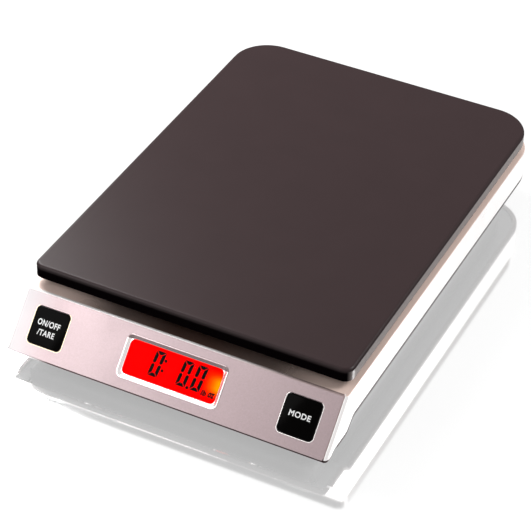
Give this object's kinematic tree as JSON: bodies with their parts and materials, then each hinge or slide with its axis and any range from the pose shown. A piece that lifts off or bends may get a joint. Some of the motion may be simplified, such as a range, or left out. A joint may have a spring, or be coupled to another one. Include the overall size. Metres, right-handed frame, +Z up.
{
  "type": "digital kitchen scale",
  "caption": "Flat digital kitchen scale: thin rounded platform over a low silver housing with a sloped panel that holds a back-lit display and two square push buttons.",
  "frame": {"origin": "on the table, at the bottom centre of the bounding box", "axes": "+Z up, +Y to the back, +X to the right as the panel is read; the panel faces -Y"},
  "size_m": [0.168, 0.254, 0.0434],
  "materials": {
    "base_reinforcing_plate": "pressed",
    "base_screws": "plated",
    "base_shell": "moulded grey",
    "battery_contact_plates": "nickel plated",
    "battery_contact_springs": "nickel plated",
    "battery_door": "moulded grey",
    "battery_front": "wrapped",
    "battery_lead": "sheathed",
    "battery_rear": "wrapped",
    "board_components": "moulded",
    "circuit_board": "solder mask",
    "circuit_board_screws": "plated",
    "control_panel_fascia": "satin",
    "controller_chip": "moulded",
    "foot_front_left": "matte",
    "foot_front_right": "matte",
    "foot_rear_left": "matte",
    "foot_rear_right": "matte",
    "lcd_backlight": "diffusing",
    "lcd_bezel": "pale gloss",
    "lcd_connector_strip": "elastomer",
    "lcd_glass": "back-lit red",
    "lcd_holder": "moulded",
    "lcd_window": "clear",
    "load_cell": "milled",
    "load_cell_lead": "sheathed",
    "load_cell_lower_screws": "plated",
    "load_cell_lower_spacer": "milled",
    "load_cell_upper_screws": "plated",
    "load_cell_upper_spacer": "milled",
    "mode_button": "gloss black",
    "mode_plunger": "moulded",
    "on_off_tare_button": "gloss black",
    "on_off_tare_plunger": "moulded",
    "overload_stop_screw": "blackened",
    "platform_carrier": "pressed",
    "platform_cover": "soft matte",
    "platform_screws": "plated",
    "strain_gauges": "sealed foil",
    "tact_switch_bodies": "moulded",
    "top_housing": "satin silver"
  },
  "bodies": {
    "housing": {"base_reinforcing_plate": "base_reinforcing_plate", "base_screws": "base_screws", "base_shell": "base_shell", "battery_contact_plates": "battery_contact_plates", "battery_contact_springs": "battery_contact_springs", "battery_front": "battery_front", "battery_lead": "battery_lead", "battery_rear": "battery_rear", "board_components": "board_components", "circuit_board": "circuit_board", "circuit_board_screws": "circuit_board_screws", "control_panel_fascia": "control_panel_fascia", "controller_chip": "controller_chip", "foot_front_left": "foot_front_left", "foot_front_right": "foot_front_right", "foot_rear_left": "foot_rear_left", "foot_rear_right": "foot_rear_right", "lcd_backlight": "lcd_backlight", "lcd_bezel": "lcd_bezel", "lcd_connector_strip": "lcd_connector_strip", "lcd_glass": "lcd_glass", "lcd_holder": "lcd_holder", "lcd_window": "lcd_window", "load_cell": "load_cell", "load_cell_lead": "load_cell_lead", "load_cell_lower_screws": "load_cell_lower_screws", "load_cell_lower_spacer": "load_cell_lower_spacer", "overload_stop_screw": "overload_stop_screw", "strain_gauges": "strain_gauges", "tact_switch_bodies": "tact_switch_bodies", "top_housing": "top_housing"},
    "platform": {"platform_cover": "platform_cover", "platform_carrier": "platform_carrier", "platform_screws": "platform_screws", "load_cell_upper_spacer": "load_cell_upper_spacer", "load_cell_upper_screws": "load_cell_upper_screws"},
    "on_off_tare_key": {"on_off_tare_button": "on_off_tare_button", "on_off_tare_plunger": "on_off_tare_plunger"},
    "mode_key": {"mode_button": "mode_button", "mode_plunger": "mode_plunger"},
    "battery_cover": {"battery_door": "battery_door"}
  },
  "joints": [
    {"name": "platform_sink", "type": "slide", "parent": "housing", "child": "platform", "axis": [0, 0, -1], "range_m": [0, 0.0005], "stiffness_N_per_m": 30000, "springref_m": -0.0004, "deforming": ["load_cell"]},
    {"name": "on_off_tare_press", "type": "slide", "parent": "housing", "child": "on_off_tare_key", "axis": [0, 0.7275, -0.6861], "range_m": [0, 0.0006], "stiffness_N_per_m": 1200, "springref_m": -0.0004},
    {"name": "mode_press", "type": "slide", "parent": "housing", "child": "mode_key", "axis": [0, 0.7275, -0.6861], "range_m": [0, 0.0006], "stiffness_N_per_m": 1200, "springref_m": -0.0004},
    {"name": "battery_door_swing", "type": "hinge", "parent": "housing", "child": "battery_cover", "pos_m": [0, 0.07159, 0.0048], "axis": [-1, 0, 0], "range_deg": [0, 75]}
  ]
}
